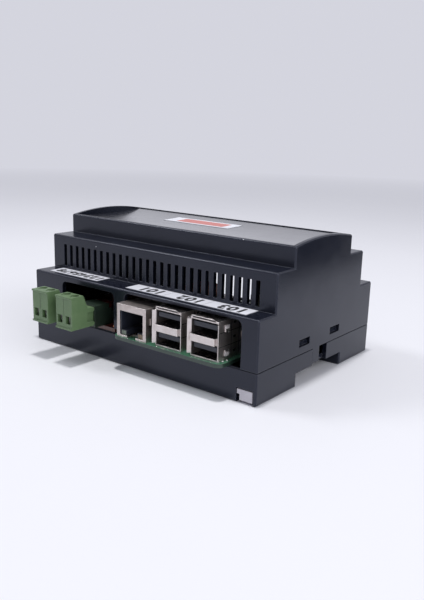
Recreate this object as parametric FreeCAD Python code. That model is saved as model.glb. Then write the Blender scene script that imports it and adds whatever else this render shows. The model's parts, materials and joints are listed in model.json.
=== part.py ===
"""Single board computer in a stepped DIN-rail housing, with a field interface board.

Millimetres.  X runs along the housing, -Y is the connector side, +Z is up.
The origin is the middle of the face that bears on the DIN rail.
"""
import FreeCAD, Part
import math
import os

V = FreeCAD.Vector

# ---------------------------------------------------------------- housing
housing_length = 125.0
housing_depth = 90.0
middle_depth = 68.4        # depth of the vented middle tier
top_depth = 45.0           # depth of the top tier
foot_height = 5.85         # feet, below the rail seat
joint_height = 7.3         # parting line of base and cover, above the rail seat
shoulder_height = 27.3     # top of the lower tier
step_height = 42.8         # top of the middle tier
roof_height = 51.0         # long edges of the top tier
crown_rise = 2.0           # end walls' arch above the roof edge
wall = 2.0
foot_wall = 1.4            # end walls of the hollow feet
edge_round = 0.8
end_chamfer = 0.5
floor_thickness = 2.0
groove_height = 0.35       # shadow line between base and cover
groove_depth = 0.7
fit_gap = 0.15             # between snapped or laid-in pieces
foot_rib_thickness = 1.5
foot_rib_pitch = 24.0
foot_rib_count = 4
foot_rib_rise = 2.0        # ribs' lower edge above the feet's

# DIN rail seat
rail_front = -17.2         # front side of the rail channel
rail_back = 18.7
lip_thickness = 1.0        # of the steel rail
lip_gap = 0.3
hook_reach = 1.7
hook_thickness = 2.0
hook_width = 8.0
hook_offset = 36.0

# snap fits of the end walls
snap_window_width = 8.2
snap_window_height = 3.1
snap_window_bottom = 10.2
snap_offset = 12.25
snap_nose = 1.3
snap_nose_tip = 0.8
snap_thickness = 1.3
snap_side_gap = 0.3
snap_crown = 0.8           # tongue above its nose
snap_root = 1.0            # tongue's foot in the floor and in the wall
notch_front = -5.3         # notch in the base's end wall, with the cover's tongue
notch_back = 6.5
tongue_width = 5.2
tongue_lift = 0.8

# vents
vent_count = 28
vent_pitch = 4.0
vent_width = 2.0
vent_bottom = 28.8
vent_height = 10.0

# windows of the cover
terminal_window_gap = 0.25 # left of the terminals
terminal_window_end = 1.4  # inside the interface board's right edge
terminal_window_top = 24.8
port_window_gap = 0.85     # left of the network jack
port_window_end = 7.5      # from the housing's right end
port_window_top = 25.8
window_round = 2.5
rib_gap = 0.3              # cover rib above the boards
rear_window = (-30.0, 2.0)
rear_window_top = 19.0

# top panel and labels
panel_border = 1.35
panel_thickness = 1.6
panel_recess = 0.2
panel_dish = 0.8
panel_ledge = 3.5
locating_rib = 1.2
locating_rib_drop = 1.0
label_thickness = 0.15
label_gap_to_wall = 0.2
label_depth = 8.0
left_label_inset = 7.0     # from the housing's left end
left_label_length = 31.2
right_label_inset = 7.8    # from the housing's right end
right_label_length = 61.5
top_label_x = (-24.5, 13.0)
top_label_y = (0.5, 11.8)

# rail clip
clip_inset = 1.7           # from the housing's right end
clip_width = 7.0
clip_step = 1.2            # flange of the clip over its guide
clip_flange = 1.9
clip_top = 0.45            # below the rail seat
clip_height = 4.3
clip_nose_reach = 2.0
clip_nose_tip = 0.6
clip_head = 3.4
clip_gap = 0.3
lever_slot_width = 3.0
lever_slot_y = (-40.0, -37.5)
lever_slot_roof = 1.2
relief_width = 2.2
relief_y = (-34.0, -22.0)

# ---------------------------------------------------------------- main board
board_width = 56.0
board_length = 85.0
board_thickness = 1.5
board_corner = 3.0
board_end_gap = 12.85      # from the housing's right end
board_front = -50.6
board_lift = 0.1           # underside above the parting line
board_hole_radius = 1.35
board_hole_inset = 3.5
board_hole_front = 23.5    # front holes, from the board's front edge
screw_shank = 1.15
screw_head = 2.3           # across the corners, from the axis
screw_head_height = 1.6
screw_tip_gap = 0.6        # above the housing floor
thread_gap = 0.05
boss_width = 5.6

jack_from_edge = 10.25     # centres of the connectors from the board's left edge
stack_from_edge = (29.0, 47.0)
jack_width = 16.1
jack_height = 13.8
jack_back_gap = 0.5        # to the heads of the board's front screws
jack_setback = 0.7         # behind the board's front edge
jack_top_border = 2.7
jack_side_border = 1.6
jack_bottom_border = 0.9
jack_key_width = 4.8
jack_key_depth = 4.0
sheet = 0.4
plug_cavity_width = 11.9
plug_cavity_bottom = 3.0   # above the board
plug_cavity_top = 10.8
plug_cavity_depth = 13.5
latch_notch_width = 6.2
light_width = 2.6
light_height = 1.8
light_length = 3.0
light_lift = 0.9           # above the board
light_offset = 0.13        # outwards from the middle of the cavity's floor
jack_contact_count = 8
jack_contact_pitch = 1.02
jack_contact_width = 0.44
jack_contact_start = 3.6   # behind the jack's face
jack_contact_run = 8.0
jack_contact_drop = 3.0
jack_contact_thickness = 0.4

stack_width = 13.2
stack_height = 15.5
stack_back_gap = 2.8
stack_setback = 0.9
port_height = 5.7
port_bar_height = 2.8
port_bottom = 0.5
lip_flare = 0.9            # bent edges of the shell's mouth
lip_length = 1.1
lip_thickness_front = 0.25
side_lip_inset = 1.0       # side lips stop short of the corners
top_lip_inset = 1.2
spring_setback = 6.2       # sprung tabs in the shell's sides
spring_height = 0.45       # of a port's height
spring_size = (2.0, 1.4)
spring_rise = 0.3
spring_slot = 0.4
tongue_thickness = 1.9
tongue_drop = 0.9
port_tongue_width = 11.2
port_tongue_setback = 0.8
port_insert_start = 11.0
port_contact_count = 4
port_contact_pitch = 2.3
port_contact_width = 1.1
port_contact_thickness = 0.2
port_contact_y = (1.4, 10.0)

pin_pitch = 2.54
pin_size = 0.64
header_rows = 20
header_height = 2.5
pin_length = 6.0
ribbon_rows = 5
ribbon_thickness = 0.9
ribbon_rise = 3.2
ribbon_drop = 1.8          # ribbon's ends below the sockets' tops
socket_height = 6.0        # ribbon's socket above the pin header
socket_width = 6.0
socket_border = 1.0
socket_chamfer = 0.5
field_socket_inset = 4.0

# chips: from the board's back and left edges, size along X and Y, height
processor_chip = (29.0, 32.0, 14.0, 14.0, 1.4)
main_chips = (
    (57.0, 34.0, 9.0, 9.0, 1.0),
    (15.0, 16.0, 6.0, 6.0, 1.0),
    (12.0, 36.0, 12.0, 9.0, 1.6),
    (44.5, 40.0, 5.0, 5.0, 2.0),
)
# sockets on the board's left edge: from the back, size along X and Y, height, overhang
video_body = (32.0, 11.5, 15.0, 6.5, 1.2)
video_mouth = (13.8, 4.6, 1.2)     # width, height, lift above the board
power_body = (10.6, 5.6, 7.8, 2.9, 1.0)
power_mouth = (6.9, 1.9, 0.5)
mouth_depth = 0.7                  # share of the socket's length
audio_body = (53.5, 6.25, 12.5, 7.0, 6.0)
audio_bore = (1.8, 10.0)           # radius, length
flex_body = (22.0, 2.8, 5.2)
flex_slot = (17.0, 0.8, 4.0)
camera_place = (45.0, 11.5)        # from the board's back and left edges
display_place = (3.6, 24.5)
card_from_left = 28.0
card_socket_size = (12.8, 11.9, 1.5)
card_socket_setback = 0.6
card_socket_slot = (11.4, 1.0)
card_slot_floor = 0.2
card_slot_setback = 1.0
card_size = (11.0, 13.4, 0.75)
card_overhang = 2.2
card_clearance = 0.1

# ---------------------------------------------------------------- interface board
field_board_inset = 4.5            # from the housing's left end
boards_gap = 3.35                  # between the two boards
field_board_back = 38.0
field_board_front = -42.5
field_board_tab_front = -44.2
field_board_tab_gap = 0.3          # inside the terminal window
field_board_thickness = 1.6
field_hole_radius = 1.6
field_hole_inset = 4.0
field_hole_step = 9.5              # front holes, from the front edge

# pluggable terminals
terminal_pitch = 5.08
terminal_inset = 21.3              # middle of the plugs, from the board's right edge
terminal_spacing = 3 * terminal_pitch
plug_width = 9.8
plug_front = -61.5
plug_bottom = 10.1
plug_top = 24.1
plug_top_depth = 6.3
plug_waist_height = 18.9
plug_back = -53.0
shoulder_top = 18.3
header_front = -49.0
header_side_gap = 0.1
header_steps = (2.5, 4.2)          # drops behind the shroud
header_step_length = 1.8
socket_depth = 7.0
socket_wall = 1.3
socket_side_wall = 0.9
header_depth = 12.0
neck_gap = 0.2
neck_recess = 0.9
rail_height = 2.0                  # the neck's top and bottom rails
rail_round = 0.8
cap_overhang = 0.5
cap_height = 1.0
foot_ledge = 0.7
face_groove = (0.3, 0.2)           # width and depth
dimple = (1.0, 0.6)                # side and depth
dimple_setback = 1.5
screw_line = -57.5                 # row of the clamp screws
clamp_head_radius = 1.6
clamp_head_height = 1.8
clamp_head_gap = 0.1
clamp_shank_radius = 1.25
clamp_shank_gap = 0.15             # between a shank's tip and the current bar
clamp_head_bottom = 20.9
clamp_slot = 0.6
clamp_slot_depth = 0.9
running_gap = 0.05
cage_width = 3.8
cage_length = 4.2
cage_wall = 0.6
cage_roof = 1.1
cage_bottom = 11.9
cage_window = 3.8
cage_travel = 2.5
cage_gap = 0.12
bar_thickness = 0.6
bar_width = 2.2
bar_drop = 0.3                     # below the cage window's top
bar_inset = 0.4
wire_hole = (2.9, 3.4)             # width and height
pole_pin = 1.0
pole_pin_height = 4.6              # above the interface board
pole_pin_inset = 0.6
pole_leg_inset = 1.0
pole_leg_tail = 1.5
pole_hole = 1.4
leaf = 0.45
leaf_gap = 0.2
fork_inset = 0.6

# interface board components: from its right and back edges, size along X and Y, height
relay_body = (8.3, 16.0, 10.0, 15.0, 7.5)
choke_body = (17.5, 41.0, 10.0, 10.0, 5.0)
fuse_body = (21.3, 62.0, 6.0, 12.0, 6.0)
field_chip_bodies = (
    (23.0, 22.0, 5.5, 5.0, 1.6),
    (24.0, 11.0, 10.0, 7.5, 2.3),
    (19.0, 30.0, 5.0, 4.0, 1.6),
)
case_chamfer = 0.5
can_radius = 4.0
can_height = 11.5
can_inset = 7.5                    # from the board's left edge
can_from_back = 38.0

PLANES = {
    "side": lambda u, v, w: V(w, u, v),
    "front": lambda u, v, w: V(u, w, v),
    "plan": lambda u, v, w: V(u, v, w),
}


# ---------------------------------------------------------------- helpers
def block(x, y, z):
    """Box from three (low, high) pairs."""
    return Part.makeBox(x[1] - x[0], y[1] - y[0], z[1] - z[0], V(x[0], y[0], z[0]))


def rod(radius, x, y, z):
    """Upright cylinder over the (low, high) pair z."""
    return Part.makeCylinder(radius, z[1] - z[0], V(x, y, z[0]))


def around(centre, width):
    return (centre - width / 2, centre + width / 2)


def prism(plane, corners, start, end):
    """Extruded outline; each corner is (u, v) or (u, v, radius)."""
    to_space = PLANES[plane]
    points = [to_space(c[0], c[1], start) for c in corners]
    radii = [c[2] if len(c) > 2 else 0.0 for c in corners]
    count = len(points)
    entries = []
    exits = []
    edges = []
    for i in range(count):
        here = points[i]
        before = (points[i - 1] - here).normalize()
        after = (points[(i + 1) % count] - here).normalize()
        if radii[i] == 0.0:
            entries.append(here)
            exits.append(here)
            edges.append(None)
            continue
        half_angle = before.getAngle(after) / 2
        setback = radii[i] / math.tan(half_angle)
        inward = (before + after).normalize()
        middle = here + inward * (radii[i] / math.sin(half_angle) - radii[i])
        entries.append(here + before * setback)
        exits.append(here + after * setback)
        edges.append(Part.Arc(entries[i], middle, exits[i]).toShape())
    loop = []
    for i in range(count):
        if edges[i] is not None:
            loop.append(edges[i])
        nxt = (i + 1) % count
        if (entries[nxt] - exits[i]).Length > 1e-6:
            loop.append(Part.makeLine(exits[i], entries[nxt]))
    face = Part.Face(Part.Wire(loop))
    return face.extrude(to_space(0, 0, end) - to_space(0, 0, start))


def hexagon(radius, x, y, z):
    """Upright hexagonal bar; radius is measured to its corners."""
    corners = []
    for i in range(6):
        angle = math.radians(60 * i)
        corners.append((x + radius * math.cos(angle), y + radius * math.sin(angle)))
    return prism("plan", corners, z[0], z[1])


def fuse(shapes):
    return shapes[0].fuse(shapes[1:]).removeSplitter()


def save(name, shape):
    os.makedirs("parts", exist_ok=True)
    shape.exportStep("parts/" + name + ".step")


def lies_at(edge, height):
    """True for an edge that lies flat at the given height."""
    box = edge.BoundBox
    return box.ZLength < 0.01 and abs(box.ZMin - height) < 0.01


def chamfer_top(body, size, top):
    return body.makeChamfer(size, [e for e in body.Edges if lies_at(e, top)])


# ---------------------------------------------------------------- places
half_length = housing_length / 2
half_depth = housing_depth / 2
inside_x = half_length - wall
inside_y = half_depth - wall
board_bottom = joint_height + board_lift
board_top = board_bottom + board_thickness
board_right = half_length - board_end_gap
board_left = board_right - board_width
board_back = board_front + board_length
board_hole_rows = (board_front + board_hole_front, board_back - board_hole_inset)
board_holes = [
    (x, y)
    for x in (board_left + board_hole_inset, board_right - board_hole_inset)
    for y in board_hole_rows
]
heads_front = board_hole_rows[0] - screw_head
jack_x = board_left + jack_from_edge
jack_front = board_front + jack_setback
jack_back = heads_front - jack_back_gap
stack_front = board_front + stack_setback
stack_back = heads_front - stack_back_gap
header_x = board_right - board_hole_inset
header_y = sum(board_hole_rows) / 2

field_board_left = -half_length + field_board_inset
field_board_right = board_left - boards_gap
field_top = board_bottom + field_board_thickness
field_rows = (field_board_front + field_hole_step, field_board_back - field_hole_inset)
field_columns = (field_board_left + field_hole_inset, field_board_right - field_hole_inset)
field_holes = [(field_columns[0], field_rows[1]), (field_columns[1], field_rows[0])]
field_rests = [(field_columns[0], field_rows[0]), (field_columns[1], field_rows[1])]
field_socket_x = field_board_right - field_socket_inset
plug_centres = around(field_board_right - terminal_inset, terminal_spacing)
header_half = plug_width / 2 + header_side_gap
terminal_window = (
    plug_centres[0] - header_half - terminal_window_gap,
    field_board_right - terminal_window_end,
)
pole_leg_y = header_front + header_depth - pole_leg_inset
pole_pin_z = field_top + pole_pin_height
cage_height = cage_wall + cage_window + cage_roof
bar_bottom = cage_bottom + cage_wall + cage_window - bar_drop - bar_thickness

clip_right = half_length - clip_inset
clip_left = clip_right - clip_width
clip_bottom = -clip_top - clip_height

panel_top = roof_height - panel_recess
panel_half_y = top_depth / 2 - panel_border
panel_half_x = inside_x - fit_gap
ledge_top = panel_top - panel_thickness - panel_dish - fit_gap
ledge_bottom = ledge_top - wall


# ---------------------------------------------------------------- housing
def base_shell():
    outline = [
        (-half_depth, joint_height),
        (-half_depth, -foot_height, edge_round),
        (rail_front, -foot_height),
        (rail_front, 0),
        (rail_back, 0),
        (rail_back, -foot_height),
        (half_depth, -foot_height, edge_round),
        (half_depth, joint_height),
    ]
    shell = prism("side", outline, -half_length, half_length)
    shell = shell.makeChamfer(end_chamfer, [e for e in shell.Edges if is_outer_end(e)])
    pocket_x = half_length - foot_wall
    pocket_front = (-inside_y, rail_front - wall)
    pocket_back = (rail_back + wall, inside_y)
    tools = [
        block((-inside_x, inside_x), (-inside_y, inside_y), (floor_thickness, joint_height)),
        block((-pocket_x, pocket_x), pocket_front, (-foot_height, 0)),
        block((-pocket_x, pocket_x), pocket_back, (-foot_height, 0)),
        parting_groove(),
    ]
    for side in (-1, 1):
        x = sorted((side * inside_x, side * half_length))
        tools.append(block(x, (notch_front, notch_back), (0, joint_height)))
    clip_slot_x = (clip_left - clip_gap, pocket_x)
    tools.append(block(clip_slot_x, (-half_depth, -inside_y), (-foot_height, 0)))
    tools.append(block(clip_slot_x, (rail_front - wall, rail_front), (-foot_height, 0)))
    shell = shell.cut(tools)

    additions = []
    rib_z = (foot_rib_rise - foot_height, 0)
    for i in range(foot_rib_count):
        x = around((i - (foot_rib_count - 1) / 2) * foot_rib_pitch, foot_rib_thickness)
        additions.append(block(x, pocket_front, rib_z))
        additions.append(block(x, pocket_back, rib_z))
    for x in (-hook_offset, hook_offset):
        additions.append(rail_hook(x))
    additions.extend(clip_guides(pocket_x))
    for side in (-1, 1):
        for y in (-snap_offset, snap_offset):
            additions.append(snap_tab(side, y))
    posts = board_holes + field_holes
    post_z = (floor_thickness, board_bottom)
    for x, y in posts + field_rests:
        additions.append(block(around(x, boss_width), around(y, boss_width), post_z))
    shell = fuse([shell] + additions)
    return shell.cut([rod(screw_shank + thread_gap, x, y, post_z) for x, y in posts])


def is_outer_end(edge):
    """True on the end outline, apart from the edges that lie on the parting line or the rail seat."""
    box = edge.BoundBox
    at_end = abs(abs(box.XMin) - half_length) < 0.01 and box.XLength < 0.01
    upright = abs(abs(box.Center.y) - half_depth) < edge_round
    underside = abs(box.ZMin + foot_height) < 0.01
    return at_end and (upright or underside)


def parting_groove():
    """Ring around the top of the base's walls."""
    z = (joint_height - groove_height, joint_height)
    outer = block((-half_length, half_length), (-half_depth, half_depth), z)
    inner_x = half_length - groove_depth
    inner_y = half_depth - groove_depth
    return outer.cut(block((-inner_x, inner_x), (-inner_y, inner_y), z))


def rail_hook(x):
    """Fixed hook that holds the back lip of the rail."""
    top = -lip_thickness - lip_gap
    tip = rail_back - hook_reach
    outline = [
        (rail_back, top),
        (tip, top),
        (tip, top - hook_thickness / 2),
        (rail_back - hook_reach / 3, top - hook_thickness),
        (rail_back, top - hook_thickness),
    ]
    return prism("side", outline, x - hook_width / 2, x + hook_width / 2)


def clip_guides(pocket_x):
    """Two ledges that carry the flanges of the rail clip."""
    ledge = -clip_top - clip_flange - clip_gap / 2
    left = (clip_left - clip_gap - wall, clip_left + clip_step - clip_gap)
    right = (clip_right - clip_step + clip_gap, pocket_x)
    run = (-inside_y, rail_front - wall)
    back_run = (-half_depth + fit_gap + clip_head + clip_gap, rail_front - wall)
    return [
        block(left, run, (-foot_height, ledge)),
        block(right, back_run, (-foot_height, ledge)),
    ]


def snap_tab(side, y):
    """Tongue that stands inside the end wall, with a wedge nose in the cover's window."""
    face = inside_x - fit_gap
    nose_bottom = snap_window_bottom + fit_gap
    nose_top = nose_bottom + snap_window_height / 2
    root = floor_thickness - snap_root
    outline = [
        (inside_x, root),
        (inside_x, joint_height - snap_root),
        (face, joint_height - snap_root),
        (face, nose_bottom),
        (face + snap_nose, nose_bottom),
        (face + snap_nose_tip, nose_top),
        (face, nose_top + snap_side_gap),
        (face, nose_top + snap_crown),
        (face - snap_thickness, nose_top + snap_crown),
        (face - snap_thickness, root),
    ]
    half = snap_window_width / 2 - snap_side_gap
    return prism("front", [(side * u, v) for u, v in outline], y - half, y + half)


def cover_outline(inset, ceiling):
    """Half of the stepped section; inset is the distance inside the outer surface."""
    return [
        (half_depth - inset, joint_height),
        (half_depth - inset, shoulder_height - inset),
        (middle_depth / 2 - inset, shoulder_height - inset),
        (middle_depth / 2 - inset, step_height - inset),
        (top_depth / 2 - inset, step_height - inset),
        (top_depth / 2 - inset, ceiling),
    ]


def stepped_outside():
    half = cover_outline(0.0, roof_height)
    rounds = (0, edge_round, 0, edge_round, 0, edge_round)
    right = [(u, v, r) for (u, v), r in zip(half, rounds)]
    left = [(-u, v, r) for u, v, r in reversed(right)]
    arch_slope = math.atan(2 * crown_rise / (top_depth / 2))
    arch_edge = math.hypot(top_depth / 2, 2 * crown_rise)
    arch_radius = (arch_edge - edge_round - fit_gap) / math.tan(arch_slope)
    arch = [(0, roof_height + 2 * crown_rise, arch_radius)]
    body = prism("side", right + arch + left, -half_length, half_length)
    return body.makeChamfer(end_chamfer, [e for e in body.Edges if is_cover_end(e)])


def is_cover_end(edge):
    box = edge.BoundBox
    at_end = abs(abs(box.XMin) - half_length) < 0.01 and box.XLength < 0.01
    return at_end and box.ZMax > joint_height + 0.01


def upper_cover():
    body = stepped_outside()
    half = cover_outline(wall, ledge_bottom)
    hollow = prism("side", half + [(-u, v) for u, v in reversed(half)], -inside_x, inside_x)
    tray = block(
        (-inside_x, inside_x),
        around(0, 2 * (panel_half_y + fit_gap)),
        (ledge_top, roof_height + 2 * crown_rise),
    )
    hatch = block(
        around(0, 2 * (inside_x - panel_ledge)),
        around(0, 2 * (panel_half_y - panel_ledge)),
        (ledge_bottom, ledge_top),
    )
    body = body.cut([hollow, tray, hatch])
    tongues = []
    for side in (-1, 1):
        x = sorted((side * inside_x, side * half_length))
        y = (notch_front + fit_gap, notch_front + fit_gap + tongue_width)
        tongues.append(block(x, y, (tongue_lift, joint_height)))
    body = fuse([body] + tongues)
    tools = vents(-1) + vents(1)
    for y in (-snap_offset, snap_offset):
        window_z = (snap_window_bottom, snap_window_bottom + snap_window_height)
        y_range = around(y, snap_window_width)
        tools.append(block((-half_length, -inside_x), y_range, window_z))
        tools.append(block((inside_x, half_length), y_range, window_z))
    front = (-half_depth, -inside_y)
    port_window = (jack_x - jack_width / 2 - port_window_gap, half_length - port_window_end)
    tools.append(window(terminal_window, terminal_window_top, front))
    tools.append(window(port_window, port_window_top, front))
    tools.append(block(rear_window, (inside_y, half_depth), (joint_height, rear_window_top)))
    under_rib = (terminal_window[1], port_window[0])
    tools.append(block(under_rib, front, (joint_height, field_top + rib_gap)))
    return body.cut(tools)


def window(x, top, y):
    """Opening from the parting line up, with rounded upper corners."""
    outline = [
        (x[0], joint_height),
        (x[0], top, window_round),
        (x[1], top, window_round),
        (x[1], joint_height),
    ]
    return prism("front", outline, y[0], y[1])


def vents(side):
    slots = []
    wall_y = sorted((side * middle_depth / 2, side * (middle_depth / 2 - wall)))
    for i in range(vent_count):
        x = (i - (vent_count - 1) / 2) * vent_pitch
        slots.append(block(around(x, vent_width), wall_y, (vent_bottom, vent_bottom + vent_height)))
    return slots


def dished_sheet(x, top, thickness):
    """Sheet that follows the top panel's hollow, under the long edges' height top."""
    def arc(height):
        ends = (V(x[0], -panel_half_y, height), V(x[0], panel_half_y, height))
        return Part.Arc(ends[0], V(x[0], 0, height - panel_dish), ends[1]).toShape()

    def side(y):
        return Part.makeLine(V(x[0], y, top), V(x[0], y, top - thickness))

    loop = [arc(top), arc(top - thickness), side(-panel_half_y), side(panel_half_y)]
    section = Part.Face(Part.Wire(Part.__sortEdges__(loop)))
    return section.extrude(V(x[1] - x[0], 0, 0))


def top_panel():
    plate = dished_sheet((-panel_half_x, panel_half_x), panel_top, panel_thickness)
    rib_x = inside_x - panel_ledge - fit_gap
    rib_y = panel_half_y - panel_ledge - fit_gap
    rib_z = (ledge_top - locating_rib_drop, panel_top - panel_thickness - panel_dish / 2)
    frame = block((-rib_x, rib_x), (-rib_y, rib_y), rib_z)
    inner_x = rib_x - locating_rib
    inner_y = rib_y - locating_rib
    return fuse([plate, frame.cut(block((-inner_x, inner_x), (-inner_y, inner_y), rib_z))])


def shoulder_label(start, length):
    back = -middle_depth / 2 - label_gap_to_wall
    z = (shoulder_height, shoulder_height + label_thickness)
    return block((start, start + length), (back - label_depth, back), z)


def top_label():
    sheet_piece = dished_sheet(top_label_x, panel_top + label_thickness, label_thickness)
    return sheet_piece.common(block(top_label_x, top_label_y, (0, roof_height)))


def rail_clip():
    """Slider with a flange on each side, a nose under the rail's lip and a slot for a driver."""
    front = -half_depth + fit_gap
    back = rail_front - fit_gap
    tip = rail_front + clip_nose_reach
    nose_top = -lip_thickness - lip_gap
    full_z = (clip_bottom, -clip_top)
    bar_x = (clip_left + clip_step, clip_right - clip_step)
    bar = block(bar_x, (front, back), full_z)
    flange = block((clip_left, clip_right), (front, back), (-clip_top - clip_flange, -clip_top))
    head = block((bar_x[0], clip_right), (front, front + clip_head), full_z)
    nose_outline = [
        (rail_front - wall, clip_bottom),
        (tip - clip_nose_tip, clip_bottom),
        (tip, nose_top - clip_nose_tip),
        (tip, nose_top),
        (rail_front - wall, nose_top),
    ]
    nose = prism("side", nose_outline, bar_x[0], bar_x[1])
    body = fuse([bar, flange, head, nose])
    middle = (clip_left + clip_right) / 2
    lever_slot = block(
        around(middle, lever_slot_width), lever_slot_y, (clip_bottom, -clip_top - lever_slot_roof)
    )
    return body.cut([lever_slot, block(around(middle, relief_width), relief_y, full_z)])


# ---------------------------------------------------------------- main board
def main_board():
    outline = [
        (board_left, board_front, board_corner),
        (board_right, board_front, board_corner),
        (board_right, board_back, board_corner),
        (board_left, board_back, board_corner),
    ]
    board = prism("plan", outline, board_bottom, board_top)
    return board.cut([rod(board_hole_radius, x, y, (board_bottom, board_top)) for x, y in board_holes])


def board_screw(x, y, seat):
    """Hexagon-headed thread-forming screw."""
    head = hexagon(screw_head, x, y, (seat, seat + screw_head_height))
    shank = rod(screw_shank, x, y, (floor_thickness + screw_tip_gap, seat))
    return fuse([head, shank])


def jack_shield():
    x = around(jack_x, jack_width)
    y = (jack_front, jack_back)
    z = (board_top, board_top + jack_height)
    outer = block(x, y, z)
    inner = block((x[0] + sheet, x[1] - sheet), (y[0] + sheet, y[1] - sheet), (z[0] + sheet, z[1] - sheet))
    mouth = block(
        (x[0] + jack_side_border, x[1] - jack_side_border),
        (y[0], y[0] + sheet),
        (z[0] + jack_bottom_border, z[1] - jack_top_border),
    )
    key_x = around(jack_x, jack_key_width)
    key = block(key_x, (y[0], y[0] + sheet), (z[0], z[0] + jack_bottom_border))
    floor_gap = block(key_x, (y[0], y[0] + jack_key_depth), (z[0], z[0] + sheet))
    return outer.cut([inner, mouth, key, floor_gap])


def jack_insert():
    inset = sheet + fit_gap
    x = around(jack_x, jack_width - 2 * inset)
    y = (jack_front + inset, jack_back - inset)
    body = block(x, y, (board_top + inset, board_top + jack_height - inset))
    depth = (y[0], y[0] + plug_cavity_depth)
    cavity_z = (board_top + plug_cavity_bottom, board_top + plug_cavity_top)
    cavity = block(around(jack_x, plug_cavity_width), depth, cavity_z)
    notch = block(around(jack_x, latch_notch_width), depth, (board_top + inset, cavity_z[0]))
    body = body.cut([cavity, notch])
    return body.cut([light_block(side, fit_gap / 2) for side in (-1, 1)])


def light_block(side, grow):
    """Light pipe beside the latch notch; grow enlarges it to make its pocket."""
    offset = (plug_cavity_width + latch_notch_width) / 4 + light_offset
    x = around(jack_x + side * offset, light_width + 2 * grow)
    front = jack_front + sheet + fit_gap
    bottom = board_top + light_lift
    return block(x, (front, front + light_length + grow), (bottom - grow, bottom + light_height + grow))


def jack_contacts():
    """Sprung wires that slope down from the roof of the plug cavity."""
    roof = board_top + plug_cavity_top
    front = jack_front + jack_contact_start
    low = roof - jack_contact_drop
    thick = jack_contact_thickness
    outline = [
        (front, roof),
        (front + thick, roof),
        (front + jack_contact_run, low),
        (front + jack_contact_run + 2 * thick, low),
        (front + jack_contact_run + 2 * thick, low - thick),
        (front + jack_contact_run, low - thick),
    ]
    wires = []
    for i in range(jack_contact_count):
        x = jack_x + (i - (jack_contact_count - 1) / 2) * jack_contact_pitch
        wires.append(prism("side", outline, x - jack_contact_width / 2, x + jack_contact_width / 2))
    return Part.makeCompound(wires)


def port_levels():
    """Bottoms of the lower and upper port."""
    lower = board_top + port_bottom
    return (lower, lower + port_height + port_bar_height)


def stack_shell(centre):
    """Folded sheet round two ports, with flared lips and sprung tabs in its sides."""
    x = around(centre, stack_width)
    mouth = stack_front + lip_length
    y = (mouth, stack_back)
    z = (board_top, board_top + stack_height)
    levels = port_levels()
    bar_z = (levels[0] + port_height, levels[1])
    bar = block((x[0] + sheet, x[1] - side_lip_inset), (stack_front, mouth), bar_z)
    inside_x_range = (x[0] + sheet, x[1] - sheet)
    tools = [block(inside_x_range, (y[0] + sheet, y[1] - sheet), (bar_z[0] + sheet, bar_z[1] - sheet))]
    tabs = []
    for bottom in levels:
        tools.append(block(inside_x_range, (y[0], y[1] - sheet), (bottom, bottom + port_height)))
        tab_y = around(stack_front + spring_setback, spring_size[0])
        tab_z = around(bottom + spring_height * port_height, spring_size[1])
        for side in (-1, 1):
            edge = centre + side * stack_width / 2
            wall_x = sorted((edge, edge - side * sheet))
            slot_y = (tab_y[0], tab_y[1] + spring_slot)
            tools.append(block(wall_x, slot_y, (tab_z[0] - spring_slot, tab_z[1])))
            tabs.append(block(sorted((edge + side * spring_rise, edge - side * sheet)), tab_y, tab_z))
    return fuse([block(x, y, z).cut(tools), bar] + tabs + stack_lips(x, z, mouth))


def stack_lips(x, z, mouth):
    """Edges of the mouth, bent outwards at the top and at both sides."""
    lips = []
    root = mouth + lip_thickness_front
    for edge, side in ((x[0], -1), (x[1], 1)):
        tip = edge + side * lip_flare
        outline = [
            (edge - side * sheet, mouth),
            (tip - side * lip_thickness_front, stack_front),
            (tip, stack_front),
            (edge, root),
            (edge - side * sheet, root),
        ]
        lips.append(prism("plan", outline, z[0] + side_lip_inset, z[1] - side_lip_inset))
    top = z[1] + lip_flare
    outline = [
        (mouth, z[1] - sheet),
        (stack_front, top - lip_thickness_front),
        (stack_front, top),
        (root, z[1]),
        (root, z[1] - sheet),
    ]
    lips.append(prism("side", outline, x[0] + top_lip_inset, x[1] - top_lip_inset))
    return lips


def stack_insert(centre):
    """Insulator: a block behind each port with a tongue that reaches towards the mouth."""
    gap = sheet + fit_gap
    inserts = []
    back = (stack_front + port_insert_start, stack_back - gap)
    for bottom in port_levels():
        top = bottom + port_height
        rear = block(around(centre, stack_width - 2 * gap), back, (bottom + fit_gap, top - fit_gap))
        tongue = block(
            around(centre, port_tongue_width),
            (stack_front + lip_length + port_tongue_setback, back[0]),
            (top - tongue_drop - tongue_thickness, top - tongue_drop),
        )
        inserts.append(fuse([rear, tongue]))
    return Part.makeCompound(inserts)


def stack_contacts(centre):
    strips = []
    y = (stack_front + lip_length + port_contact_y[0], stack_front + port_contact_y[1])
    for bottom in port_levels():
        face = bottom + port_height - tongue_drop - tongue_thickness
        for i in range(port_contact_count):
            x = centre + (i - (port_contact_count - 1) / 2) * port_contact_pitch
            strips.append(block(around(x, port_contact_width), y, (face - port_contact_thickness, face)))
    return Part.makeCompound(strips)


def header_row_y(row):
    return header_y + (row - (header_rows - 1) / 2) * pin_pitch


def pin_header():
    y = around(header_y, header_rows * pin_pitch)
    return block(around(header_x, 2 * pin_pitch), y, (board_top, board_top + header_height))


def header_pins():
    """The pins that stand free behind the ribbon's socket."""
    base = board_top + header_height
    pins = []
    for row in range(ribbon_rows + 1, header_rows):
        y = around(header_row_y(row), pin_size)
        for side in (-1, 1):
            x = around(header_x + side * pin_pitch / 2, pin_size)
            pins.append(block(x, y, (base, base + pin_length)))
    return Part.makeCompound(pins)


def ribbon_y():
    return (header_row_y(0) - pin_pitch / 2, header_row_y(ribbon_rows - 1) + pin_pitch / 2)


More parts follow.
